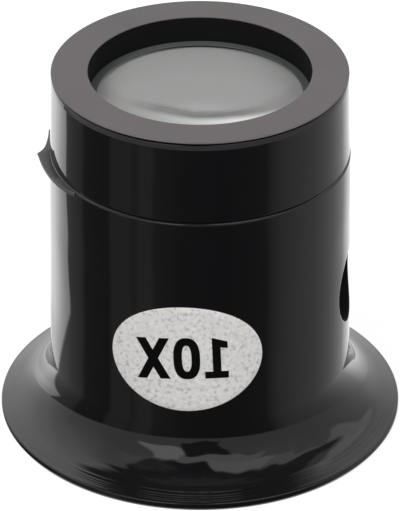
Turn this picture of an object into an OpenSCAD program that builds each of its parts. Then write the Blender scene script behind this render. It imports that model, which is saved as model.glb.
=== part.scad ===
// Watchmaker's eye loupe: a flared eyecup barrel, a pull-off head with two lenses, and a screwed front ring.
// It stands on its eyecup. Z runs up the optical axis, the label faces -Y, and the vent opens towards +X
// with the thumb lug opposite.

/* [Lenses] */
// Diameter of both lenses
lens_d = 22.4; // [20:0.1:24]
// Thickness of a lens at its edge
lens_edge = 1; // [0.6:0.1:1.6]
// Radius of the curved face of a lens, which sets its power
lens_curve_r = 25.5; // [20:0.5:40]
// Bevel ground on the edges of a lens
lens_bevel = 0.15; // [0.05:0.05:0.3]
// Gap between the two curved faces on the axis
lens_gap = 0.5; // [0.2:0.1:2]
// Radial clearance of a lens in its cell
lens_clear = 0.1; // [0.05:0.05:0.2]
// Wall of the spacer ring between the lenses
spacer_wall = 1.6; // [1:0.1:2.2]

/* [Head] */
// Height of the head's outer side, from the seam to the front ring
head_h = 7.45; // [6.5:0.05:9]
// Draft of the head's side, in degrees
head_draft = 1.6; // [0.5:0.1:2.5]
// How far the head's side stands in from the barrel's at the seam
head_step = 0.07; // [0:0.01:0.3]
// Rounding of the head's upper outer edge
head_top_round = 0.3; // [0.1:0.05:0.6]
// Rounding of the head's lower outer edge, which is half of the seam's groove
head_foot_round = 0.2; // [0.1:0.05:0.4]
// Wall of the spigot that plugs into the barrel
spigot_wall = 1; // [0.8:0.05:1.4]
// Radial clearance of the spigot in the barrel
spigot_clear = 0.05; // [0.02:0.01:0.1]
// Lead-in chamfer at the spigot's end
spigot_chamfer = 0.35; // [0.1:0.05:0.6]
// Thickness of the shoulder that the rear lens rests on
shoulder_t = 1.1; // [0.8:0.1:1.5]
// Width of that shoulder
shoulder_w = 1.9; // [1.4:0.1:2.4]
// Bevel of the shoulder's lower inner edge
shoulder_bevel = 0.4; // [0.1:0.05:0.6]

/* [Front ring] */
// Thickness of the ring's flange
ring_flange_t = 0.45; // [0.4:0.05:0.8]
// Rounding of the flange's outer edge
ring_round = 0.36; // [0.1:0.02:0.38]
// How far the flange stands out past the head's upper edge
ring_overhang = 0.08; // [0:0.01:0.3]
// Dark gap left between the flange and the head
ring_gap = 0.1; // [0.05:0.01:0.25]
// Wall of the ring's screwed tube
ring_tube_wall = 1.25; // [0.9:0.05:1.6]
// Radial clearance of the tube in the head
ring_clear = 0.05; // [0.02:0.01:0.08]
// Break of the edge of the ring's mouth
mouth_break = 0.12; // [0.05:0.01:0.3]
// Depth from the ring's face to the bezel
mouth_depth = 2.45; // [1.8:0.05:3]

/* [Bezel] */
// Thickness of the bezel washer on the front lens
bezel_t = 0.35; // [0.3:0.05:0.6]
// Ledge of the bezel that shows inside the mouth
bezel_ledge = 0.85; // [0.4:0.05:1.4]
// Thickness that the bezel's inner edge is thinned to
bezel_edge_t = 0.1; // [0.05:0.05:0.2]

/* [Barrel] */
// Height of the barrel, from the table to the seam
barrel_h = 27; // [24:0.5:32]
// Wall of the barrel at the seam
barrel_wall = 1.25; // [1:0.05:1.6]
// Draft of the barrel's outer side, in degrees
barrel_draft = 0.62; // [0.2:0.02:1]
// Draft of the barrel's bore below the spigot, in degrees
bore_draft = 0.5; // [0.2:0.1:0.8]
// Rounding of the barrel's outer edge at the seam
barrel_top_round = 0.25; // [0.1:0.05:0.5]
// Lead-in chamfer of the bore at the seam
bore_chamfer = 0.25; // [0.1:0.05:0.5]

/* [Eyecup] */
// Diameter of the eyecup's flare
flare_d = 37; // [35:0.5:42]
// Radius of the concave fillet between the barrel and the flare
flare_fillet_r = 5.2; // [3:0.1:6]
// Slope of the flare outside the fillet, in degrees
flare_slope = 22; // [12:1:28]
// Wall of the flare under the fillet
flare_wall = 1.3; // [1:0.05:1.6]
// Height at which the flare's slope meets the lip's side
lip_h = 0.75; // [0.6:0.05:1.2]
// Height of the mould's parting line on the lip
lip_split_z = 0.35; // [0.2:0.05:0.4]
// How far the lip's foot stands in below the parting line
lip_undercut = 0.2; // [0.05:0.01:0.3]
// Rounding of the lip's upper edge
lip_round = 0.2; // [0.1:0.05:0.25]

/* [Lug] */
// How far the thumb lug's larger point stands out from the barrel's rim, on the label's side of the hollow
lug_reach = 1.1; // [0.6:0.02:2]
// How far its smaller point stands out, on the other side
lug_rear_reach = 0.62; // [0.4:0.02:1]
// How far the bottom of the hollow between its points stands out
lug_hollow = 0.36; // [0.2:0.02:0.6]
// How far the lug stands out near its long end, on the label's side
lug_end = 0.56; // [0.3:0.02:0.8]
// How far it stands out near its short end
lug_rear_end = 0.2; // [0.16:0.02:0.4]
// Angle of the larger point from the bottom of the hollow, in degrees
lug_point = 11; // [8:0.5:16]
// Angle of the smaller point, in degrees
lug_rear_point = 6.5; // [4:0.5:10]
// Angle of the long end, in degrees
lug_half = 43.5; // [30:0.5:60]
// Angle of the short end, in degrees
lug_rear_half = 14; // [12:0.5:20]
// Thickness of the lug where it leaves the barrel
lug_t = 0.4; // [0.3:0.05:1]
// Thickness that the lug's underside thins it to at its points
lug_edge_t = 0.2; // [0.15:0.01:0.3]
// How far the lug's face lies below the seam
lug_drop = 0.1; // [0.05:0.05:0.5]

/* [Vent] */
// Diameter of the vent hole
vent_d = 7; // [5:0.1:8]
// Height of the vent hole's centre
vent_z = 14; // [12:0.1:18]
// Rounding of the vent hole's outer edge
vent_round = 0.25; // [0.2:0.05:0.8]
// Turn of the vent from the X axis towards the label, and of the lug opposite it away from there, in degrees
side_turn = 2.5; // [0:0.5:8]

/* [Label] */
// Width of the oval label, along the barrel
label_w = 14; // [10:0.5:18]
// Height of the oval label
label_h = 11; // [8:0.5:13]
// Height of the label's centre
label_z = 12.95; // [12.5:0.05:16]
// Thickness of the label
label_t = 0.1; // [0.05:0.01:0.15]

/* [Hidden] */
$fn = 128;
// Overshoot of a cutting tool past what it cuts
past = 1;

// Radii from the lenses outwards
lens_r = lens_d / 2;
cell_r = lens_r + lens_clear;
spigot_r = cell_r + spigot_wall;
bore_r = spigot_r + spigot_clear;
barrel_r = bore_r + barrel_wall;
head_r = barrel_r - head_step;
head_top_r = head_r - head_h * tan(head_draft);
ring_r = head_top_r + ring_overhang;
tube_r = cell_r - ring_clear;
mouth_r = tube_r - ring_tube_wall;
aperture_r = mouth_r - bezel_ledge;

// Heights from the seam up to the ring's face, then down through the lenses to the spigot's end
head_top_z = barrel_h + head_h;
ring_z = head_top_z + ring_gap;
face_z = ring_z + ring_flange_t;
bezel_top_z = face_z - mouth_depth;
front_flat_z = bezel_top_z - bezel_t;
lens_sag = lens_curve_r - sqrt(lens_curve_r * lens_curve_r - lens_r * lens_r);
lens_t = lens_edge + lens_sag;
front_apex_z = front_flat_z - lens_t;
rear_apex_z = front_apex_z - lens_gap;
rear_flat_z = rear_apex_z - lens_t;
spigot_z = rear_flat_z - shoulder_t;

// The flare's outline: a fillet tangent to the barrel, then a straight slope down to the lip
flare_r = flare_d / 2;
fillet_turn = 90 - flare_slope;
fillet_room = flare_r - barrel_r - barrel_h * tan(barrel_draft);
fillet_r = min(flare_fillet_r, 0.97 * fillet_room / (1 - cos(fillet_turn)));
fillet_z = (lip_h + fillet_r * sin(fillet_turn)
    + (fillet_room - fillet_r * (1 - cos(fillet_turn))) * tan(flare_slope))
    / (1 - tan(barrel_draft) * tan(flare_slope));
foot_r = barrel_side(fillet_z);
fillet_x = foot_r + fillet_r;
slope_r = fillet_x - fillet_r * cos(fillet_turn);
slope_z = fillet_z - fillet_r * sin(fillet_turn);

// The eyecup's hollow follows the fillet at the flare's wall, and the bore tapers up to the spigot's seat
hollow_r = fillet_r + flare_wall;
hollow_top_r = fillet_x - hollow_r;
seat_z = spigot_z - 0.5;

// Colours
black = [0.1, 0.1, 0.11];
dark = [0.16, 0.16, 0.17];
grey = [0.42, 0.4, 0.4];
silver = [0.76, 0.75, 0.72];
clear = [0.75, 0.82, 0.85, 0.5];

// Radius of the barrel's drafted side at a height
function barrel_side(z) = barrel_r + (barrel_h - z) * tan(barrel_draft);

// What is cut off to round a profile's upper outer corner at x, z with radius r, where the side has this draft
module upper_corner(x, z, r, draft = 0) {
    translate([x + r * tan(draft) - r / cos(draft), z - r]) difference() {
        polygon([[0, 0], (r + past) * [cos(draft), sin(draft)], [r + past, r + past], [0, r + past]]);
        circle(r);
    }
}

// The same for a lower outer corner
module lower_corner(x, z, r, draft = 0) {
    translate([x - r * tan(draft) - r / cos(draft), z + r]) difference() {
        polygon([[0, 0], [0, -r - past], [r + past, -r - past], (r + past) * [cos(draft), sin(draft)]]);
        circle(r);
    }
}

// The same for the lip's corner, between the flare's slope and its upright side
module lip_corner() {
    reach = lip_round + past;
    drop = lip_round * (1 - sin(flare_slope)) / cos(flare_slope);
    translate([flare_r - lip_round, lip_h - drop]) difference() {
        polygon([[0, 0], [reach, 0], [reach, reach], reach * [sin(flare_slope), cos(flare_slope)]]);
        circle(lip_round);
    }
}

// Outline of the barrel and flare, from the axis outwards
module barrel_outline() {
    difference() {
        polygon([
            [0, 0],
            [flare_r - lip_undercut, 0],
            [flare_r, lip_split_z],
            [flare_r, lip_h],
            [slope_r, slope_z],
            [slope_r, fillet_z],
            [foot_r, fillet_z],
            [barrel_r, barrel_h],
            [0, barrel_h]
        ]);
        translate([fillet_x, fillet_z]) circle(fillet_r);
        lip_corner();
        upper_corner(barrel_r, barrel_h, barrel_top_round, barrel_draft);
    }
}

// The hollow inside: the eyecup's bell, the tapered bore and the seat of the head's spigot
module barrel_hollow() {
    difference() {
        translate([0, -past]) square([fillet_x, fillet_z + past]);
        translate([fillet_x, fillet_z]) circle(hollow_r);
    }
    polygon([
        [0, fillet_z - past],
        [hollow_top_r, fillet_z],
        [min(hollow_top_r, bore_r + (seat_z - fillet_z) * tan(bore_draft)), fillet_z],
        [bore_r, seat_z],
        [bore_r, barrel_h - bore_chamfer],
        [bore_r + bore_chamfer, barrel_h],
        [bore_r + bore_chamfer, barrel_h + past],
        [0, barrel_h + past]
    ]);
}

// Thumb lug on the barrel's rim: two points with a hollow between them for the nail, the one towards the
// label larger and with a long flank. How far one side of it stands out at an angle from the hollow's bottom
function lug_side(turn, point, half, reach, end, bend) =
    let (flank = max(0, turn - point) / (half - point))
    turn < point
        ? lug_hollow + (reach - lug_hollow) * pow(turn / point, bend)
        : (reach + (end - reach) * pow(flank, 0.6)) * sqrt(1 - pow(flank, 8));
function lug_out(turn) = turn < 0
    ? lug_side(-turn, lug_rear_point, lug_rear_half, lug_rear_reach, lug_rear_end, 1.5)
    : lug_side(turn, lug_point, lug_half, lug_reach, lug_end, 3.6);

// Angles at which one side's outline has its corners
function lug_turns(point, half, inner, outer) = concat(
    [for (i = [1 : inner]) point * i / inner],
    [for (i = [1 : outer]) point + (half - point) * (1 - pow(1 - i / outer, 1.6))]
);

module lug() {
    root_r = bore_r + barrel_wall / 2;
    face = barrel_h - lug_drop;
    rear = lug_turns(lug_rear_point, lug_rear_half, 5, 7);
    turns = concat(
        [for (i = [len(rear) - 1 : -1 : 0]) -rear[i]],
        [0],
        lug_turns(lug_point, lug_half, 8, 13)
    );
    outer = [for (turn = turns) (barrel_r + lug_out(turn)) * [cos(180 + turn), sin(180 + turn)]];
    inner = [for (i = [len(turns) - 1 : -1 : 0]) root_r * [cos(180 + turns[i]), sin(180 + turns[i])]];
    intersection() {
        translate([0, 0, face - lug_t - past]) linear_extrude(lug_t + 2 * past) polygon(concat(outer, inner));
        rotate_extrude() polygon([
            [bore_r, face - lug_t],
            [barrel_r, face - lug_t],
            [barrel_r + lug_reach, face - lug_edge_t],
            [barrel_r + lug_reach + past, face - lug_edge_t],
            [barrel_r + lug_reach + past, face],
            [bore_r, face]
        ]);
    }
}

// Vent hole with a rounded outer edge, about the X axis
module vent_cut() {
    vent_r = vent_d / 2;
    side_x = barrel_side(vent_z);
    translate([0, 0, vent_z]) rotate([0, 90, 0]) rotate_extrude() difference() {
        polygon([
            [0, bore_r / 2],
            [vent_r, bore_r / 2],
            [vent_r, side_x - vent_round],
            [vent_r + vent_round, side_x - vent_round],
            [vent_r + vent_round, side_x + past],
            [0, side_x + past]
        ]);
        translate([vent_r + vent_round, side_x - vent_round]) circle(vent_round);
    }
}

module eyecup_barrel() {
    color(black) difference() {
        union() {
            rotate_extrude() difference() {
                barrel_outline();
                barrel_hollow();
            }
            rotate([0, 0, -side_turn]) lug();
        }
        rotate([0, 0, -side_turn]) vent_cut();
    }
}

// Shell of the head with its spigot and the shoulder under the rear lens, open at the top for the lenses
module head_shell() {
    color(black) rotate_extrude() difference() {
        polygon([
            [cell_r - shoulder_w, spigot_z + shoulder_bevel],
            [cell_r - shoulder_w + shoulder_bevel, spigot_z],
            [spigot_r - spigot_chamfer, spigot_z],
            [spigot_r, spigot_z + spigot_chamfer],
            [spigot_r, barrel_h],
            [head_r, barrel_h],
            [head_top_r, head_top_z],
            [cell_r, head_top_z],
            [cell_r, rear_flat_z],
            [cell_r - shoulder_w, rear_flat_z]
        ]);
        upper_corner(head_top_r, head_top_z, head_top_round, head_draft);
        lower_corner(head_r, barrel_h, head_foot_round, head_draft);
    }
}

// Matte ring that screws into the head and holds the lenses down
module front_ring() {
    color(grey) rotate_extrude() difference() {
        polygon([
            [mouth_r, bezel_top_z],
            [tube_r, bezel_top_z],
            [tube_r, ring_z],
            [ring_r, ring_z],
            [ring_r, face_z],
            [mouth_r + mouth_break, face_z],
            [mouth_r, face_z - mouth_break]
        ]);
        upper_corner(ring_r, face_z, ring_round);
    }
}

// Washer between the front ring and the front lens, thinned towards its inner edge
module lens_bezel() {
    color(dark) rotate_extrude() polygon([
        [aperture_r, front_flat_z],
        [lens_r, front_flat_z],
        [lens_r, bezel_top_z],
        [mouth_r - bezel_edge_t, bezel_top_z],
        [aperture_r, front_flat_z + bezel_edge_t]
    ]);
}

// Lens with its flat face at height 0 and its curved face above
module lens() {
    intersection() {
        translate([0, 0, lens_t - lens_curve_r]) sphere(lens_curve_r);
        rotate_extrude() polygon([
            [0, 0],
            [lens_r - lens_bevel, 0],
            [lens_r, lens_bevel],
            [lens_r, lens_edge - lens_bevel],
            [lens_r - lens_bevel, lens_edge + lens_bevel],
            [lens_r - lens_bevel, lens_t + past],
            [0, lens_t + past]
        ]);
    }
}

module front_lens() {
    color(clear) translate([0, 0, front_flat_z]) mirror([0, 0, 1]) lens();
}

module rear_lens() {
    color(clear) translate([0, 0, rear_flat_z]) lens();
}

// Ring between the lenses, whose ends are hollowed to seat on the curved faces
module lens_spacer() {
    color(dark) difference() {
        rotate_extrude() translate([lens_r - spacer_wall, rear_flat_z + lens_edge])
            square([spacer_wall, front_flat_z - rear_flat_z - 2 * lens_edge]);
        translate([0, 0, front_apex_z + lens_curve_r]) sphere(lens_curve_r);
        translate([0, 0, rear_apex_z - lens_curve_r]) sphere(lens_curve_r);
    }
}

// Thin oval label that follows the barrel's side
module magnification_label() {
    low_z = label_z - label_h;
    high_z = label_z + label_h;
    side_r = barrel_side(label_z);
    oval = [for (turn = [0 : 5 : 355])
        [side_r * sin(label_w / 2 * cos(turn) / side_r * 180 / PI), label_z + label_h / 2 * sin(turn)]];
    color(silver) intersection() {
        rotate_extrude() polygon([
            [barrel_side(low_z), low_z],
            [barrel_side(low_z) + label_t, low_z],
            [barrel_side(high_z) + label_t, high_z],
            [barrel_side(high_z), high_z]
        ]);
        rotate([90, 0, 0]) linear_extrude(barrel_r + lug_reach + label_t) polygon(oval);
    }
}

eyecup_barrel();
head_shell();
front_ring();
lens_bezel();
front_lens();
lens_spacer();
rear_lens();
magnification_label();
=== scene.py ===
"""A watchmaker's eye loupe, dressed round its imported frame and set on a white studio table."""
import math

import bmesh
import bpy
from mathutils import Matrix, Vector


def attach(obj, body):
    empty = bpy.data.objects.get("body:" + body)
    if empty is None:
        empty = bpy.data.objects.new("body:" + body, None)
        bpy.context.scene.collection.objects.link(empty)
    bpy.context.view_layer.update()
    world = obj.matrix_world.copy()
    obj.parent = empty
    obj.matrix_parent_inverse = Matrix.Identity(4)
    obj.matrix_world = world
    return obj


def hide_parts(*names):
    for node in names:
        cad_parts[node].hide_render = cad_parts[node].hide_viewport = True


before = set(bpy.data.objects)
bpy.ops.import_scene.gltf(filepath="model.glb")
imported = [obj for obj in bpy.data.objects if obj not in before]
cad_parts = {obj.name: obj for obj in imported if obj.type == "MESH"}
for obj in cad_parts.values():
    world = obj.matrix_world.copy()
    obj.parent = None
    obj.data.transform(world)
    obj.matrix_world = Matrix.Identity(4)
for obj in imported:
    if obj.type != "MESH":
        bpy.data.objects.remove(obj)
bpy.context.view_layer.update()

MM = 0.001

# The loupe's sizes in millimetres, in its frame
# The barrel's outside and bore at the seam, their draft, and the seat at which the bore starts to widen
SEAM_Z, SEAT_Z = 27.0, 22.9174
BARREL_R, BARREL_DRAFT = 13.6, math.radians(0.62)
BORE_R, BORE_DRAFT = 12.35, math.radians(0.5)
# The flare's fillet and, round the same centre, the hollow inside it; the slope below the fillet, and the lip
FILLET_X, FILLET_Z = 19.0257, 6.1460
FILLET_R, HOLLOW_R = 5.2, 6.5
SLOPE = math.radians(22)
FLARE_R, LIP_H = 18.5, 0.75
VENT_R, VENT_ROUND, VENT_Z = 3.5, 0.25, 14.0
# The head's wall at the seam and at its edge, the ledge for the ring inside that edge, the spigot and the cell
HEAD_R = 13.53
HEAD_TOP_R, HEAD_EDGE_Z = 13.33, 34.7
LEDGE_R, HEAD_TOP_Z = 12.8, 34.45
SPIGOT_R, SPIGOT_Z = 12.3, 23.4174
CELL_R = 11.3
# The lenses: the thickness of their edge, the radius of their curved faces and the heights of their flat ones
LENS_R, LENS_EDGE, CURVE_R = 11.2, 1.0, 25.5
REAR_FLAT_Z, FRONT_FLAT_Z = 24.5174, 32.2
# The front ring from its tube's end up to its face, with the thin lip over the head's edge; the washer's opening
MOUTH_Z, RING_Z, LIP_Z, FACE_Z = 32.55, 34.55, 34.86, 35.0
RING_R, MOUTH_R, APERTURE_R = 13.33, 10.0, 9.15
# The label, with its rounded edge, is stuck on very slightly askew
LABEL_Z, LABEL_T = 13.07, 0.1
LABEL_W, LABEL_H, LABEL_ROUND = 14.0, 10.78, 0.065
LABEL_TURN = math.radians(2.2)

# The vent is turned this far from the X axis towards the label, and the lug opposite it as far away
SIDE_TURN = math.radians(2.5)
# The camera stands this far round from the label towards the vent
PHOTO_TURN = math.radians(5.4)

# Pieces turned about Z have this many sides
SIDES = 256


def barrel_side(z):
    """Radius of the barrel's drafted outside at a height."""
    return BARREL_R + (SEAM_Z - z) * math.tan(BARREL_DRAFT)


def bore_side(z):
    """Radius of the barrel's tapered inside below the head's seat."""
    return BORE_R + (SEAT_Z - z) * math.tan(BORE_DRAFT)


# Materials


def linear(code):
    """An sRGB hex colour as linear red, green, blue and alpha."""
    parts = [int(code[i:i + 2], 16) / 255 for i in (1, 3, 5)]
    return [c / 12.92 if c <= 0.04045 else ((c + 0.055) / 1.055) ** 2.4 for c in parts] + [1.0]


def add(tree, kind, inputs=None, **settings):
    """Adds a node with its settings; inputs gives each socket a value or the output that feeds it."""
    made = tree.nodes.new("ShaderNode" + kind)
    for key, value in settings.items():
        setattr(made, key, value)
    for key, value in (inputs or {}).items():
        if isinstance(value, bpy.types.NodeSocket):
            tree.links.new(value, made.inputs[key])
        else:
            made.inputs[key].default_value = value
    return made


def bare_tree(holder):
    """Turns on the nodes of a material or a world, and empties them."""
    holder.use_nodes = True
    holder.node_tree.nodes.clear()
    return holder.node_tree


def surface(name, **sockets):
    """A material with a plain Principled surface; returns the material, its tree and the shader."""
    material = bpy.data.materials.new(name)
    tree = bare_tree(material)
    shader = add(tree, "BsdfPrincipled", {key.replace("_", " "): value for key, value in sockets.items()})
    add(tree, "OutputMaterial", {"Surface": shader.outputs[0]})
    return material, tree, shader


def per_mm(size):
    """Noise scale for features of this size in millimetres, in metre coordinates."""
    return 1 / (size * MM)


def mottled(tree, shader, size, detail, dark, light):
    """Lets the base colour wander between two tones, over patches of this size in millimetres."""
    place = add(tree, "TexCoord").outputs["Object"]
    patch = add(tree, "TexNoise", {"Vector": place, "Scale": per_mm(size), "Detail": detail})
    tone = add(tree, "Mix", {0: patch.outputs[0], 6: linear(dark), 7: linear(light)}, data_type="RGBA")
    tree.links.new(tone.outputs[2], shader.inputs["Base Color"])
    return place, patch


def polished_abs(name, wave):
    """Black ABS from a polished mould: deep gloss, a slow waviness from shrinkage, this many millimetres high, and a
    few faint rub marks."""
    material, tree, shader = surface(name, Base_Color=linear("#0b0b0d"), IOR=1.54)
    place = add(tree, "TexCoord").outputs["Object"]
    slow = add(tree, "TexNoise", {"Vector": place, "Scale": per_mm(9), "Detail": 1.0})
    rub = add(tree, "TexNoise", {"Vector": place, "Scale": per_mm(3), "Detail": 4.0, "Roughness": 0.6})
    gloss = add(tree, "MapRange", {0: rub.outputs[0], 1: 0.35, 2: 0.75, 3: 0.035, 4: 0.075})
    bump = add(tree, "Bump", {"Height": slow.outputs[0], "Strength": 1.0, "Distance": wave * MM})
    tree.links.new(gloss.outputs[0], shader.inputs["Roughness"])
    tree.links.new(bump.outputs[0], shader.inputs["Normal"])
    return material


def spark_eroded_abs():
    """Black ABS from a spark-eroded mould: an even, fine grain that scatters light to a warm grey."""
    material, tree, shader = surface("spark_eroded_abs", Roughness=0.48, IOR=1.5)
    place, _ = mottled(tree, shader, 5, 2.0, "#4f4a4b", "#595455")
    # the real grain is about 0.05 mm across; 0.12 mm is the finest that shows
    grain = add(tree, "TexNoise", {"Vector": place, "Scale": per_mm(0.12), "Detail": 2.0})
    bump = add(tree, "Bump", {"Height": grain.outputs[0], "Strength": 0.35, "Distance": 0.04 * MM})
    tree.links.new(bump.outputs[0], shader.inputs["Normal"])
    return material


def recess_painted_shade():
    """Near-black matt coat in the ring's mouth and on the vent's wall, painted shade for these recesses: it takes
    nearly all the light that falls on it, its coat is a little uneven, and its low IOR keeps reflections off it."""
    material, tree, shader = surface("recess_painted_shade", Roughness=0.8, IOR=1.18)
    mottled(tree, shader, 0.8, 2.0, "#0e0e0e", "#131313")
    return material


def lug_abs_painted_sheen():
    """Black ABS of the lug, from an unpolished part of the mould: a grey base colour paints the sheen its flat top
    shows.
    Its colour and its roughness are uneven where the plastic flowed, and it has a fine grain."""
    material, tree, shader = surface("lug_abs_painted_sheen", IOR=1.54)
    # painted sheen: the lug's black plastic given a grey base colour
    place, flow = mottled(tree, shader, 1.5, 3.0, "#3e3e3f", "#464647")
    sheen = add(tree, "MapRange", {0: flow.outputs[0], 1: 0.3, 2: 0.7, 3: 0.38, 4: 0.5})
    grain = add(tree, "TexNoise", {"Vector": place, "Scale": per_mm(0.12), "Detail": 2.0})
    bump = add(tree, "Bump", {"Height": grain.outputs[0], "Strength": 0.2, "Distance": 0.02 * MM})
    tree.links.new(sheen.outputs[0], shader.inputs["Roughness"])
    tree.links.new(bump.outputs[0], shader.inputs["Normal"])
    return material


def ground_edge():
    """The rim of a lens as it is ground: matt white glass, seen as a bright arc in the lens's near side."""
    material, tree, shader = surface("ground_edge", Roughness=0.9, IOR=1.52)
    # the grit leaves pits of about 0.02 mm; 0.1 mm is the finest that shows
    mottled(tree, shader, 0.1, 1.0, "#e3e6e7", "#e9eced")
    return material


def satin_abs():
    """Satin black ABS washer: a soft sheen, and a fine, cloudy grain from its mould."""
    material, tree, shader = surface("satin_abs", Roughness=0.32, IOR=1.5)
    mottled(tree, shader, 0.4, 3.0, "#494a4c", "#565859")
    return material


def matte_abs():
    """Matte black ABS spacer, which swallows stray light between the lenses."""
    material, tree, shader = surface("matte_abs", Roughness=0.7, IOR=1.5)
    mottled(tree, shader, 0.2, 2.0, "#141414", "#1c1c1c")
    return material


def crown_glass():
    """Polished crown glass: clear, with the index of ordinary spectacle glass."""
    return surface("crown_glass", Base_Color=linear("#fbfdfc"), Roughness=0.0, IOR=1.52, Transmission_Weight=1.0)[0]


def filmed_glass_painted_arc():
    """Polished crown glass under the thin film that the front lens is sold with: an even, milky veil. On the label's
    side a reflection is painted into the veil along an arc: a darker band where the veil thins, and white past it."""
    material, tree, shader = surface("filmed_glass_painted_arc", Base_Color=linear("#f6f6f5"), Roughness=0.0, IOR=1.52)
    place = add(tree, "TexCoord").outputs["Object"]
    across = add(tree, "SeparateXYZ", {0: place}).outputs[0]
    # the painted arc and its dark band follow a circle round this place; towards the lug they run up to 0.5 mm
    # further in
    middle = Vector((-0.3, 10.1, FRONT_FLAT_Z)) * MM
    far = add(tree, "VectorMath", {0: place, 1: middle}, operation="DISTANCE").outputs["Value"]
    inward = add(tree, "MapRange", {0: across, 1: -3 * MM, 2: 0.0, 3: 0.5 * MM, 4: 0.0})
    far = add(tree, "Math", {0: far, 1: inward.outputs[0]}, operation="ADD").outputs[0]
    aside = add(tree, "Math", {0: across}, operation="ABSOLUTE")
    # painted reflection: along the arc the veil thins to a darker band, most in the middle, and past it turns white,
    # most towards the vent
    deep = add(tree, "MapRange", {0: aside.outputs[0], 1: 2 * MM, 2: 6.5 * MM, 3: 0.17, 4: 0.355})
    veil_and_painted_band = add(tree, "MapRange", {0: far, 1: 12.3 * MM, 2: 13.2 * MM, 3: 0.355, 4: deep.outputs[0]},
               interpolation_type="SMOOTHSTEP")
    painted_bright_arc = add(tree, "MapRange", {0: far, 1: 13.5 * MM, 2: 14.7 * MM}, interpolation_type="SMOOTHSTEP")
    run = add(tree, "MapRange", {0: across, 1: -6.5 * MM, 2: 3.5 * MM})
    run = add(tree, "Math", {0: run.outputs[0], 1: 2.0}, operation="POWER")
    white = add(tree, "MapRange", {0: run.outputs[0], 3: 0.4, 4: 0.92})
    film = add(tree, "Mix", {0: painted_bright_arc.outputs[0], 2: veil_and_painted_band.outputs[0], 3: white.outputs[0]})
    clear = add(tree, "Math", {0: 1.0, 1: film.outputs[0]}, operation="SUBTRACT")
    tree.links.new(clear.outputs[0], shader.inputs["Transmission Weight"])
    return material


def speckled_foil():
    """Silver-grey printed vinyl foil: matt, with fine dark and light flakes, 0.1 to 0.4 mm across."""
    material, tree, shader = surface("speckled_foil", Roughness=0.45, IOR=1.45)
    place = add(tree, "TexCoord").outputs["Object"]
    flake = add(tree, "TexNoise", {"Vector": place, "Scale": per_mm(0.36), "Detail": 2.0, "Roughness": 0.6})
    patch = add(tree, "TexNoise", {"Vector": place, "Scale": per_mm(1.6), "Detail": 2.0})
    base = add(tree, "Mix", {0: patch.outputs[0], 6: linear("#c5c3c1"), 7: linear("#d1cfcd")}, data_type="RGBA")
    dark = add(tree, "MapRange", {0: flake.outputs[0], 1: 0.53, 2: 0.70, 3: 0.0, 4: 0.55})
    pale = add(tree, "MapRange", {0: flake.outputs[0], 1: 0.42, 2: 0.28, 3: 0.0, 4: 0.6})
    with_dark = add(tree, "Mix", {0: dark.outputs[0], 6: base.outputs[2], 7: linear("#7b7977")}, data_type="RGBA")
    with_pale = add(tree, "Mix", {0: pale.outputs[0], 6: with_dark.outputs[2], 7: linear("#e1dfdd")},
                    data_type="RGBA")
    tree.links.new(with_pale.outputs[2], shader.inputs["Base Color"])
    return material


def printing_ink():
    """Screen-printed black ink: dense and nearly matt, with a slightly uneven coat."""
    material, tree, shader = surface("printing_ink", Roughness=0.6, IOR=1.12)
    mottled(tree, shader, 0.3, 2.0, "#050505", "#0d0d0d")
    return material


# Turned and moulded shapes


def arc(x, z, r, start, end, steps):
    """Points on a circle in the profile's plane, from one angle in degrees to another."""
    turns = [math.radians(start + (end - start) * i / steps) for i in range(steps + 1)]
    return [(x + r * math.cos(turn), z + r * math.sin(turn)) for turn in turns]


def eased(points, support=0.03):
    """A closed profile with its corners rounded where a point has a third number, the radius in millimetres.
    A support point on each side of a rounding keeps the flats beside it flat to the eye."""
    out = []
    for i, point in enumerate(points):
        here = Vector(point[:2])
        if len(point) < 3:
            out.append(point)
            continue
        back = Vector(points[i - 1][:2]) - here
        ahead = Vector(points[(i + 1) % len(points)][:2]) - here
        half = back.angle(ahead) / 2
        reach = point[2] / math.tan(half)
        centre = here + (back.normalized() + ahead.normalized()).normalized() * (point[2] / math.sin(half))
        first, last = here + back.normalized() * reach - centre, here + ahead.normalized() * reach - centre
        sweep = math.pi - 2 * half
        steps = max(3, round(math.degrees(sweep) / 11))
        if back.length > reach + 2 * support:
            out.append(tuple(centre + first + back.normalized() * support))
        for k in range(steps + 1):
            share = k / steps
            spoke = (math.sin((1 - share) * sweep) * first + math.sin(share * sweep) * last) / math.sin(sweep)
            out.append(tuple(centre + spoke))
        if ahead.length > reach + 2 * support:
            out.append(tuple(centre + last + ahead.normalized() * support))
    return out


def piece(name, verts, faces, material, body, *nodes):
    """A shaded mesh from points in millimetres. It rides on a body and stands for the nodes named."""
    mesh = bpy.data.meshes.new(name)
    mesh.from_pydata([Vector(v) * MM for v in verts], [], faces)
    shape = bmesh.new()
    shape.from_mesh(mesh)
    bmesh.ops.remove_doubles(shape, verts=shape.verts, dist=1e-7)
    bmesh.ops.delete(shape, geom=[v for v in shape.verts if not v.link_faces], context="VERTS")
    bmesh.ops.recalc_face_normals(shape, faces=shape.faces)
    shape.to_mesh(mesh)
    shape.free()
    mesh.shade_smooth()
    mesh.set_sharp_from_angle(angle=math.radians(32))
    mesh.materials.append(material)
    made = bpy.data.objects.new(name, mesh)
    bpy.context.scene.collection.objects.link(made)
    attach(made, body)
    if nodes:
        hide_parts(*nodes)
    return made


def trim(made, material, where):
    """Gives another material to the faces whose middle passes a test of its distance from the axis and its height."""
    made.data.materials.append(material)
    for face in made.data.polygons:
        x, y, z = face.center / MM
        if where(math.hypot(x, y), z):
            face.material_index = len(made.data.materials) - 1


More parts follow.
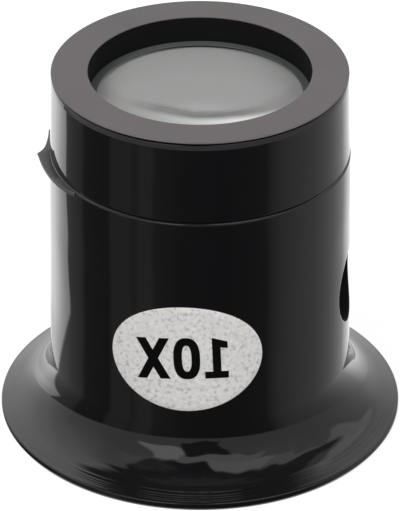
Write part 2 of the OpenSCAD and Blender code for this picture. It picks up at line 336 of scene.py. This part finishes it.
def turned(profile, hole=None):
    """Points and faces of a closed profile turned about Z. hole(row, column) says which faces to leave out."""
    verts, faces = [], []
    for r, z in profile:
        for j in range(SIDES):
            turn = 2 * math.pi * j / SIDES
            verts.append((r * math.cos(turn), r * math.sin(turn), z))
    for i in range(len(profile)):
        for j in range(SIDES):
            if hole and hole(i, j):
                continue
            k, m = (i + 1) % len(profile), (j + 1) % SIDES
            faces.append((i * SIDES + j, i * SIDES + m, k * SIDES + m, k * SIDES + j))
    return verts, faces


def sideways(verts):
    """Points made round the X axis, turned to where the vent and the lug are."""
    return [tuple(Matrix.Rotation(-SIDE_TURN, 3, "Z") @ Vector(v)) for v in verts]


def lip_lines():
    """Fine rings left on the flare's slope where the mould's lip insert was turned: (place, depth) in millimetres."""
    rings = ((17.22, 0.007), (17.58, 0.012), (17.80, 0.010), (18.02, 0.017), (18.17, 0.014))
    groove = ((-0.07, 0), (-0.035, 0.35), (0, 1), (0.035, 0.35), (0.07, 0))
    return [(r + step, LIP_H + (FLARE_R - r - step) * math.tan(SLOPE) - depth * share)
            for r, depth in rings for step, share in groove]


def barrel_mesh():
    """The eyecup barrel with its vent: the turned wall is left open round the vent, and loops lead from that
    opening over the vent's rounded edge, through the wall and back to the bore."""
    half, opening = 14, 10.4
    spans = 2 * half
    heights = [VENT_Z - opening / 2 + opening * k / spans for k in range(spans + 1)]
    outside = [(barrel_side(z), z) for z in reversed(heights)]
    inside = [(bore_side(z), z) for z in heights]
    foot = 180 + math.degrees(math.asin(FILLET_Z / HOLLOW_R))
    profile = eased([
        (BORE_R, SEAM_Z - 0.25, 0.05), (BORE_R + 0.25, SEAM_Z, 0.05), (BARREL_R, SEAM_Z, 0.25),
        *outside,
        *arc(FILLET_X, FILLET_Z, FILLET_R, 180, 248, 40),
        *lip_lines(),
        (FLARE_R, LIP_H, 0.2), (FLARE_R, 0.35, 0.04), (FLARE_R - 0.2, 0, 0.05),
        *arc(FILLET_X, FILLET_Z, HOLLOW_R, foot, 180, 30),
        (bore_side(FILLET_Z), FILLET_Z),
        *inside,
        (BORE_R, SEAT_Z),
    ])
    top, low = profile.index(outside[0]), profile.index(inside[0])

    def near_vent(i, j):
        return (j < half or j >= SIDES - half) and (top <= i < top + spans or low <= i < low + spans)

    verts, faces = turned(profile, near_vent)

    def frame_of(first, step):
        """The opening's grid points, counted round it from its lower corner at -Y."""
        rows = [first + step * k for k in range(spans + 1)]
        columns = list(range(-half, half + 1))
        around = [(rows[0], c) for c in columns[:-1]] + [(r, half) for r in rows[:-1]]
        around += [(rows[-1], c) for c in reversed(columns[1:])] + [(r, -half) for r in reversed(rows[1:])]
        return [r * SIDES + c % SIDES for r, c in around]

    outer, inner = frame_of(top + spans, -1), frame_of(low, 1)

    def wall_loop(edge, side, start, share, drop=0.0):
        """Points between the vent's edge and the opening's frame, on a wall of the barrel."""
        made = []
        for index in edge:
            _, y, z = verts[index]
            far, turn = math.hypot(y, z - VENT_Z), math.atan2(z - VENT_Z, y)
            reach = start + (far - start) * share
            y, z = reach * math.cos(turn), VENT_Z + reach * math.sin(turn)
            made.append((math.sqrt(side(z) ** 2 - y * y) - drop, y, z))
        return made

    shares = (0.7, 0.45, 0.26, 0.12, 0.04, 0.0)
    loops = [wall_loop(inner, bore_side, VENT_R + 0.1, share) for share in shares]
    loops.append(wall_loop(inner, bore_side, VENT_R, 0, -0.1))
    bends = [math.radians(90 - 11.25 * k) for k in range(9)]
    rims = [(VENT_R + VENT_ROUND * (1 - math.sin(b)), VENT_ROUND * (1 - math.cos(b))) for b in bends]
    loops += [wall_loop(outer, barrel_side, reach, 0, drop) for reach, drop in rims]
    loops += [wall_loop(outer, barrel_side, VENT_R + VENT_ROUND, share) for share in reversed(shares[:-1])]
    chain = [inner]
    for loop in loops:
        chain.append(list(range(len(verts), len(verts) + len(loop))))
        verts += loop
    chain.append(outer)
    count = len(inner)
    for a, b in zip(chain, chain[1:]):
        faces += [(a[k], a[(k + 1) % count], b[(k + 1) % count], b[k]) for k in range(count)]
    return sideways(verts), faces


def lug_mesh():
    """The thumb lug on the barrel's rim: two points with a hollow between them for the nail, the one towards the
    label larger and with a long flank. It is flat on top and thins underneath towards its points."""
    hollow, largest = 0.36, 1.1
    face, root_r, root_t, edge_t = 26.9, 13.0, 0.4, 0.2

    def side(point, half, reach, end, bend, inner, outer):
        """One side's outline from the hollow outwards: angles from the hollow's bottom and how far it stands out."""
        angles = [point * k / inner for k in range(inner)]
        angles += [half - (half - point) * (1 - k / outer) ** 1.6 for k in range(outer + 1)]
        made = []
        for turn in angles:
            flank = min(1, max(0, turn - point) / (half - point))
            rise = hollow + (reach - hollow) * (turn / point) ** bend
            fall = (reach + (end - reach) * flank ** 0.6) * math.sqrt(1 - flank ** 5)
            made.append((turn, rise if turn < point else fall))
        return made

    rear = side(6.5, 14.0, 0.62, 0.2, 1.5, 8, 16)
    outline = [(-turn, out) for turn, out in reversed(rear[1:])] + side(11.0, 43.5, largest, 0.56, 3.6, 14, 40)
    verts, faces = [], []
    for turn, out in outline:
        r = BARREL_R + out - 0.02
        under = face - root_t + (root_t - edge_t) * (r - BARREL_R) / largest
        section = eased([(root_r, face), (r, face, 0.06), (r, under, 0.05), (root_r, face - root_t - 0.3)])
        way = math.radians(180 + turn)
        verts += [(x * math.cos(way), x * math.sin(way), z) for x, z in section]
    size = len(section)
    for k in range(len(outline) - 1):
        for i in range(size):
            m = (i + 1) % size
            faces.append((k * size + i, k * size + m, (k + 1) * size + m, (k + 1) * size + i))
    faces += [tuple(range(size)), tuple(range(len(verts) - size, len(verts)))]
    return sideways(verts), faces


def head_mesh():
    """The head: its spigot, its wall up to a crease and the steeper edge above it, the ledge that the ring sits on,
    and the cell with the shoulder under the lenses."""
    crease_z, shoulder_r = 34.2, CELL_R - 1.9
    return turned(eased([
        (shoulder_r, SPIGOT_Z + 0.4), (shoulder_r + 0.4, SPIGOT_Z), (SPIGOT_R - 0.35, SPIGOT_Z),
        (SPIGOT_R, SPIGOT_Z + 0.35), (SPIGOT_R, SEAM_Z, 0.05), (HEAD_R, SEAM_Z, 0.2), (HEAD_TOP_R, crease_z, 0.3),
        (HEAD_TOP_R - 0.055, HEAD_EDGE_Z, 0.12), (LEDGE_R, HEAD_EDGE_Z), (LEDGE_R, HEAD_TOP_Z), (CELL_R, HEAD_TOP_Z),
        (CELL_R, REAR_FLAT_Z), (shoulder_r, REAR_FLAT_Z),
    ]))


def ring_mesh():
    """The front ring: its tube, and a flange whose thin outer lip covers the head's edge."""
    tube_r, step_r = CELL_R - 0.05, LEDGE_R - 0.05
    return turned(eased([
        (MOUTH_R, MOUTH_Z), (tube_r, MOUTH_Z), (tube_r, RING_Z, 0.05), (step_r, RING_Z), (step_r, LIP_Z),
        (RING_R, LIP_Z, 0.02), (RING_R, FACE_Z, 0.11), (MOUTH_R, FACE_Z, 0.12),
    ]))


def washer_mesh():
    """The bezel washer on the front lens, flat on top and countersunk underneath, so that its inner edge is thin."""
    under = FRONT_FLAT_Z + 0.01
    return turned(eased([(LENS_R, MOUTH_Z), (APERTURE_R, MOUTH_Z, 0.03), (APERTURE_R + 0.6, under), (LENS_R, under)]))


def lens_mesh(flat_z, way):
    """A plano-convex lens: its flat face at flat_z, its curved face towards +Z (way 1) or -Z (way -1)."""
    bevel = 0.15
    rim = LENS_R - bevel
    sag = CURVE_R - math.sqrt(CURVE_R ** 2 - LENS_R ** 2)
    crown = math.degrees(math.asin(rim / CURVE_R))
    centre = LENS_EDGE + sag - CURVE_R
    profile = [(0, 0), (rim * 0.5, 0), (rim - 0.05, 0), (rim, 0), (LENS_R, bevel), (LENS_R, LENS_EDGE - bevel)]
    profile += arc(0, centre, CURVE_R, 90 - crown, 90, 48)
    profile = [(max(r, 0), flat_z + way * z) for r, z in profile]
    profile[-1] = (0, profile[-1][1])
    return turned(profile, lambda i, j: i == len(profile) - 1)


def on_label(u, v, lift):
    """A point on the label: u millimetres along the barrel from its middle, v above it, lift above the foil."""
    u, v = u * math.cos(LABEL_TURN) - v * math.sin(LABEL_TURN), u * math.sin(LABEL_TURN) + v * math.cos(LABEL_TURN)
    z = LABEL_Z + v
    side = barrel_side(LABEL_Z)
    r = barrel_side(z) + LABEL_T + lift
    return (r * math.sin(u / side), -r * math.cos(u / side), z)


def label_mesh():
    """The oval foil: rings from its middle out to a rounded edge, and down to the barrel."""
    sides, flat = 144, 12
    wide, tall = LABEL_W / 2 - LABEL_ROUND, LABEL_H / 2 - LABEL_ROUND
    loops = [(wide * k / flat, tall * k / flat, 0) for k in range(1, flat + 1)]
    edge = ((0.03, -0.012), (0.055, -0.04), (LABEL_ROUND, -LABEL_T))
    loops += [(wide + out, tall + out, lift) for out, lift in edge]
    verts = [on_label(0, 0, 0)]
    for across, up, lift in loops:
        for j in range(sides):
            turn = 2 * math.pi * j / sides
            verts.append(on_label(across * math.cos(turn), up * math.sin(turn), lift))
    faces = [(0, 1 + j, 1 + (j + 1) % sides) for j in range(sides)]
    for k in range(len(loops) - 1):
        a, b = 1 + k * sides, 1 + (k + 1) * sides
        faces += [(a + j, b + j, b + (j + 1) % sides, a + (j + 1) % sides) for j in range(sides)]
    return verts, faces


# The magnification, in plain upright figures drawn for this label, in millimetres on it. It reads from right to left,
# as on the pictured loupe
CAP, BASE = 2.25, -1.95
# The line of figures falls away to both sides of a place by this much, per square millimetre
ARCH, ARCH_TOP = 0.013, 0.8


def letter_x():
    """Two straight strokes of one width that cross in the middle."""
    middle, half, wide = -2.925, 1.53, 0.9
    tall = (CAP - BASE) / 2
    notch = tall * wide / (2 * half - wide)
    upper = [(-half, tall), (-half + wide, tall), (0, notch), (half - wide, tall), (half, tall), (wide / 2, 0)]
    outline = upper + [(-u, -v) for u, v in upper]
    return [[(middle + u, (CAP + BASE) / 2 + v) for u, v in outline]]


def letter_0():
    """An oval with fairly straight sides, and the one inside it."""
    middle, sides, squareness = 0.125, 72, 2.5

    def oval(wide, tall):
        points = []
        for k in range(sides):
            turn = 2 * math.pi * k / sides
            c, s = math.cos(turn), math.sin(turn)
            points.append((middle + wide * math.copysign(abs(c) ** (2 / squareness), c),
                           (CAP + BASE) / 2 + tall * math.copysign(abs(s) ** (2 / squareness), s)))
        return points

    return [oval(1.19, 2.14), oval(0.43, 1.36)]


def letter_1():
    """A stem on a foot, with a slanted flag at its top."""
    stem, flag, foot_left, right, foot = 2.42, 3.16, 1.7, 3.8, BASE + 0.7
    return [[(stem, foot), (foot_left, foot), (foot_left, BASE), (right, BASE), (right, foot), (flag, foot),
             (flag, CAP - 1.0), (right, CAP - 1.1), (right, CAP - 0.42), (stem + 0.08, CAP), (stem, CAP)]]


def letter_mesh(outlines):
    """A printed figure: its outline filled, cut into upright strips that follow the barrel, and raised by the ink's
    thickness."""
    strip, ink_t = 0.25, 0.02
    shape = bmesh.new()
    for outline in outlines:
        corners = [shape.verts.new((u, v, 0)) for u, v in outline]
        for a, b in zip(corners, corners[1:] + corners[:1]):
            shape.edges.new((a, b))
    bmesh.ops.triangle_fill(shape, edges=shape.edges[:], use_beauty=True, normal=(0, 0, 1))
    low, high = min(u for u, _ in outlines[0]), max(u for u, _ in outlines[0])
    cut = low + strip
    while cut < high:
        bmesh.ops.bisect_plane(shape, geom=shape.verts[:] + shape.edges[:] + shape.faces[:], dist=1e-6,
                               plane_co=(cut, 0, 0), plane_no=(1, 0, 0))
        cut += strip
    bmesh.ops.recalc_face_normals(shape, faces=shape.faces)
    grown = bmesh.ops.extrude_face_region(shape, geom=shape.faces[:])
    for corner in (g for g in grown["geom"] if isinstance(g, bmesh.types.BMVert)):
        corner.co.z = ink_t
    # Blender lists the same points and faces in another order each run, so both are sorted
    points = sorted(shape.verts, key=lambda v: v.co[:])
    rank = {v: k for k, v in enumerate(points)}
    verts = [on_label(v.co.x, v.co.y - ARCH * (v.co.x - ARCH_TOP) ** 2, v.co.z) for v in points]
    faces = sorted(tuple(rank[v] for v in f.verts) for f in shape.faces)
    shape.free()
    return verts, faces


# The loupe

gloss_barrel = polished_abs("polished_abs_barrel", 0.12)
gloss_head = polished_abs("polished_abs_head", 0.1)
grained = spark_eroded_abs()
satin = satin_abs()
matte = matte_abs()
glass = crown_glass()
foil = speckled_foil()
ink = printing_ink()
recess_shade_black = recess_painted_shade()
lug_sheen_painted = lug_abs_painted_sheen()
ground = ground_edge()
film_and_painted_arc = filmed_glass_painted_arc()

barrel = piece("barrel", *barrel_mesh(), gloss_barrel, "eyecup", "eyecup_barrel")
lug = piece("thumb_lug", *lug_mesh(), lug_sheen_painted, "eyecup", "eyecup_barrel")
head = piece("head", *head_mesh(), gloss_head, "head", "head_shell")
ring = piece("grained_ring", *ring_mesh(), grained, "ring", "front_ring")
washer = piece("bezel_washer", *washer_mesh(), satin, "head", "lens_bezel")
front = piece("upper_lens", *lens_mesh(FRONT_FLAT_Z, -1), glass, "head", "front_lens")
rear = piece("lower_lens", *lens_mesh(REAR_FLAT_Z, 1), glass, "head", "rear_lens")
label = piece("label", *label_mesh(), foil, "eyecup", "magnification_label")
figures = [piece("figure_" + name, *letter_mesh(outlines), ink, "eyecup")
           for name, outlines in (("x", letter_x()), ("0", letter_0()), ("1", letter_1()))]

# painted shade on the vent's wall and on the ring's mouth with its tube, and the lenses' rims
trim(barrel, recess_shade_black, lambda far, z: 12.6 < far < barrel_side(z) - 0.03 and abs(z - VENT_Z) < 4)
trim(ring, recess_shade_black, lambda far, z: far < MOUTH_R + 0.03 or z < RING_Z - 0.1)
for made in (front, rear):
    trim(made, ground, lambda far, z: far > LENS_R - 0.16)
trim(front, film_and_painted_arc, lambda far, z: far < LENS_R - 0.16 and z > FRONT_FLAT_Z - 0.01)

# The spacer keeps its CAD shape
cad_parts["lens_spacer"].data.materials[0] = matte

# The studio


def turned_out(x, y, z):
    """A place given from the camera's side (camera towards -Y), in millimetres, as the loupe's frame has it."""
    return Matrix.Rotation(PHOTO_TURN, 4, "Z") @ Vector((x, y, z)) * MM


def staged(name, verts, faces, material):
    """A mesh of the studio, from points in metres."""
    mesh = bpy.data.meshes.new(name)
    mesh.from_pydata(verts, [], faces)
    mesh.materials.append(material)
    made = bpy.data.objects.new(name, mesh)
    bpy.context.scene.collection.objects.link(made)
    return made


def looked_at(tree):
    """1 where the camera, a gloss or a glass looks, and 0 for light on its way to a surface."""
    path = add(tree, "LightPath").outputs
    seen = path["Is Camera Ray"]
    for kind in ("Is Glossy Ray", "Is Transmission Ray"):
        seen = add(tree, "Math", {0: seen, 1: path[kind]}, operation="MAXIMUM").outputs[0]
    return seen


def studio_floor():
    """White table: it shows white and keeps a faint shadow."""
    material = bpy.data.materials.new("white_table")
    tree = bare_tree(material)
    lit = add(tree, "BsdfDiffuse", {"Color": linear("#a0a0a0")})
    plain = add(tree, "BsdfDiffuse", {"Color": linear("#e6e6e6")})
    glow = add(tree, "Emission", {"Color": (1, 1, 1, 1), "Strength": 0.8})
    both = add(tree, "AddShader", {0: lit.outputs[0], 1: glow.outputs[0]})
    mixed = add(tree, "MixShader", {0: looked_at(tree), 1: plain.outputs[0], 2: both.outputs[0]})
    add(tree, "OutputMaterial", {"Surface": mixed.outputs[0]})
    size = 3.0
    corners = [(-size, -size, 0), (size, -size, 0), (size, size, 0), (-size, size, 0)]
    table = staged("table", corners, [(0, 1, 2, 3)], material)
    table.location.z = -0.02 * MM


def curve(value, points):
    """A value read off straight lines between (place, level) points."""
    if value <= points[0][0]:
        return points[0][1]
    for (x0, y0), (x1, y1) in zip(points, points[1:]):
        if value <= x1:
            return y0 + (y1 - y0) * (value - x0) / (x1 - x0)
    return points[-1][1]


def within(value, low, high, soft):
    """1 inside a range, 0 outside it, with soft edges."""
    share = min(1, max(0, (min(value - low, high - value) + soft / 2) / soft))
    return share * share * (3 - 2 * share)


# The light tent round the loupe, which only its gloss sees: how bright its side sheet is at a turn from the camera,
# in degrees, and how much brighter its upper part is
SIDE_SHEET = [(-180, 1.6), (-150, 1.6), (-130, 1.05), (-110, 0.78), (-90, 0.64), (-60, 0.58), (0, 0.5), (60, 0.53),
              (110, 0.57), (130, 0.7), (150, 1.1), (180, 1.6)]
UPPER_SHEET = [(-180, 1.0), (-150, 1.0), (-130, 1.4), (-100, 1.8), (-60, 1.1), (60, 1.2), (110, 1.1), (150, 1.05),
               (180, 1.0)]
# Cards and gaps in the tent: turn from and to, height above the table from and to, in degrees, soft edge, brightness,
# and how far the left and the right side lean outwards for each degree of height
TENT_CARDS = (
    (-12, 17, 4, 30, 3, 0.07, 0, 0),
    (-38, -13, 14, 39, 3, 1.75, 0, 0),
    (-16, 44, 30, 42, 3, 1.1, 0, 0),
    (98, 135, 24, 38, 4, 1.1, 0, 0),
    (113, 135, 34, 58, 4, 1.25, 0, 0),
    (60, 108, 40, 66, 3, 0.14, 0, 0),
    (103, 123, 49, 61, 6, 0.5, 0, 0),
    (48, 100, 40, 56, 3, 0.92, 0, -1.9),
    (2, 54, 41, 61, 3, 1.3, 0.8, 0),
    (-43, 2, 42, 72, 4, 0.06, -1.5, 0.8),
    (169, 230, 21, 38, 12, 0.12, 0, 0),
    (-230, -169, 21, 38, 12, 0.12, 0, 0),
)
# The dark mat under the loupe, and the white sheet laid over its left side: their brightness by the direction in
# which the barrel's wall shows them, in degrees from the camera
MAT = [(-123, 0.28), (-115, 0.23), (-103, 0.2), (-98, 0.08), (-74, 0.07), (-70, 0.19), (-56, 0.2), (-52, 0.14),
       (-46, 0.23), (-38, 0.23), (-34, 0.12), (-24, 0.1), (-12, 0.06), (18, 0.045), (44, 0.07), (51, 0.09), (56, 0.2),
       (62, 0.29), (67, 0.34), (85, 0.42), (97, 0.44), (103, 0.47), (121, 0.58), (127, 0.65), (140, 0.8), (146, 1.1),
       (152, 1.3), (180, 1.35)]
SHEET = [(-180, 1.35), (-158, 1.45), (-147, 1.85), (-138, 1.75), (-127, 1.4), (-118, 1.25)]
# The sheet's edge is the line through these two places, in millimetres from the axis (camera towards -Y)
SHEET_EDGE = ((-31.1, 2.4), (-59.5, 25.1))
# The wall in which the mat shows, taken as upright, and the tent's size
WALL_R, TENT_R = 13.7, 450.0


def tent_light(turn, rise):
    """Brightness of the tent in a direction, in degrees from the camera towards the vent and above the table."""
    # the cloth and the cards hang in slow waves
    turn += 3 * math.sin(math.radians(rise * 9)) + 2 * math.sin(math.radians(turn * 7 + rise * 5))
    rise += 2.2 * math.sin(math.radians(turn * 8)) + 1.5 * math.sin(math.radians(turn * 17 + 40))
    light = curve(turn, SIDE_SHEET) * (1 + (curve(turn, UPPER_SHEET) - 1) * min(1, max(0, rise / 45)))
    for left, right, low, high, soft, level, lean_left, lean_right in TENT_CARDS:
        up = rise - low
        share = within(turn, left + lean_left * up, right + lean_right * up, soft) * within(rise, low, high, soft)
        light += (level - light) * share
    roof = within(rise, 61, 200, 8)
    ceiling = 0.1 + 0.12 * within(rise, 74, 200, 8) * within(turn, -100, 100, 60)
    return light + (ceiling - light) * roof


def mat_place(way, far):
    """The place on the mat, this far from the axis, that the barrel's wall shows in a direction. Past 180 degrees,
    places behind the loupe, which its wall doesn't show, from one side to the other."""
    if way > 180:
        x = WALL_R * (1 - 2 * (way - 180) / 10)
        return x, math.sqrt(far * far - x * x)
    half = math.radians(way / 2)
    x, y = WALL_R * math.sin(half), -WALL_R * math.cos(half)
    reach = math.sqrt(far * far - x * x) + y
    return x + reach * math.sin(2 * half), y - reach * math.cos(2 * half)


def mat_light(way, x, y):
    """Brightness of the mat, the sheet on it and the table beyond it, at a place and its direction in the wall."""
    (x0, y0), (x1, y1) = SHEET_EDGE
    past = ((x - x0) * (y1 - y0) - (y - y0) * (x1 - x0)) / math.hypot(x1 - x0, y1 - y0)
    near = curve(way, MAT)
    if x < 0:
        sheet = curve(way, SHEET) * (1 - 0.25 * within(math.hypot(x, y), -100, 26, 8))
        # close to the loupe the sheet's edge turns away from it
        curl = -118 - 1.8 * max(0, 32 - math.hypot(x, y))
        near += (sheet - near) * within(past, 0, 4000, 1.2) * within(way, -400, curl, 4)
    table = curve(math.degrees(math.atan2(x, -y)), SIDE_SHEET)
    return near + (table - near) * within(math.hypot(x, y), 92, 4000, 14)


def light_tent():
    """A dome and a mat for the gloss to show, as a product photographer puts them round a black, shiny thing. Their
    light is kept off the matt surfaces, which the lamps and the world light plainly."""
    material = bpy.data.materials.new("tent_cloth")
    tree = bare_tree(material)
    level = add(tree, "Attribute", attribute_name="light")
    glow = add(tree, "Emission", {"Color": (1, 1, 1, 1), "Strength": level.outputs["Fac"]})
    add(tree, "OutputMaterial", {"Surface": glow.outputs[0]})
    material.cycles.emission_sampling = "NONE"
    dome, mat = [], []
    for rise in range(91):
        far, height = TENT_R * math.cos(math.radians(rise)), TENT_R * math.sin(math.radians(rise))
        dome.append([((far * math.sin(math.radians(turn)), -far * math.cos(math.radians(turn)), height),
                      tent_light(turn, rise)) for turn in range(-180, 180)])
    for far in [18.4 + 0.8 * k for k in range(125)] + [130.0, 170.0, 240.0, TENT_R + 5]:
        places = [(k / 2, *mat_place(k / 2, far)) for k in range(-360, 361)]
        places += [(180, *mat_place(way, far)) for way in (182, 184, 186, 188)]
        mat.append([((x, y, 0.01), mat_light(way, x, y)) for way, x, y in places])
    for name, rings in (("tent_dome", dome), ("tent_mat", mat)):
        sides = len(rings[0])
        verts = [turned_out(*place) for row in rings for place, _ in row]
        light = [level for row in rings for _, level in row]
        faces = [(k * sides + j, k * sides + (j + 1) % sides, (k + 1) * sides + (j + 1) % sides, (k + 1) * sides + j)
                 for k in range(len(rings) - 1) for j in range(sides)]
        sheet = staged(name, verts, faces, material)
        sheet.data.attributes.new("light", "FLOAT", "POINT").data.foreach_set("value", light)
        sheet.visible_camera = sheet.visible_diffuse = sheet.visible_transmission = False
        sheet.visible_volume_scatter = sheet.visible_shadow = False


def painted_shade_pad():
    """A black disc on the table inside the eyecup, painted shade as dark as the table is under a closed loupe."""
    material = surface("pad_shade_black", Base_Color=linear("#0c0c0c"), Roughness=1.0)[0]
    pad_r, sides = 17.9 * MM, 120
    turns = [2 * math.pi * k / sides for k in range(sides)]
    verts = [(pad_r * math.cos(turn), pad_r * math.sin(turn), 0) for turn in turns]
    staged("painted_shade_pad", verts, [tuple(range(sides))], material)


def softbox(name, place, aim, width, height, power):
    """A soft area lamp at a place, facing a point, both from the camera's side in millimetres."""
    lamp = bpy.data.lights.new(name, "AREA")
    lamp.shape = "RECTANGLE"
    lamp.size, lamp.size_y = width * MM, height * MM
    lamp.energy = power
    holder = bpy.data.objects.new(name, lamp)
    bpy.context.scene.collection.objects.link(holder)
    holder.location = turned_out(*place)
    holder.rotation_euler = (turned_out(*place) - turned_out(*aim)).to_track_quat("Z", "Y").to_euler()


def studio_world():
    """A white room: it shows white, and lights the loupe softly from all round."""
    world = bpy.data.worlds.new("studio")
    bpy.context.scene.world = world
    tree = bare_tree(world)
    strength = add(tree, "MapRange", {0: looked_at(tree), 1: 0.0, 2: 1.0, 3: 0.38, 4: 1.0})
    back = add(tree, "Background", {"Color": (1, 1, 1, 1), "Strength": strength.outputs[0]})
    add(tree, "OutputWorld", {"Surface": back.outputs[0]})


studio_floor()
painted_shade_pad()
light_tent()
studio_world()
softbox("key", (-260, -260, 420), (0, 0, 15), 240, 240, 1.8)
softbox("fill", (320, -200, 300), (0, 0, 15), 240, 240, 0.95)

# The camera as it was fitted to the photograph: its distance and height in millimetres, how far it looks down in
# radians, and its focal length and the picture's height in pixels
CAMERA_OUT, CAMERA_UP, CAMERA_DOWN = 330.499, 213.857, 0.5401836
FOCAL, PICTURE_H = 4209.72, 511
lens = bpy.data.cameras.new("camera")
lens.sensor_fit = "VERTICAL"
lens.sensor_height = 24.0
lens.lens = lens.sensor_height * FOCAL / PICTURE_H
lens.clip_start, lens.clip_end = 0.01, 20.0
camera = bpy.data.objects.new("camera", lens)
bpy.context.scene.collection.objects.link(camera)
camera.location = turned_out(0, -CAMERA_OUT, CAMERA_UP)
camera.rotation_euler = (math.pi / 2 - CAMERA_DOWN, 0, PHOTO_TURN)
bpy.context.scene.camera = camera
bpy.context.scene.view_settings.view_transform = "Standard"

bpy.context.view_layer.update()
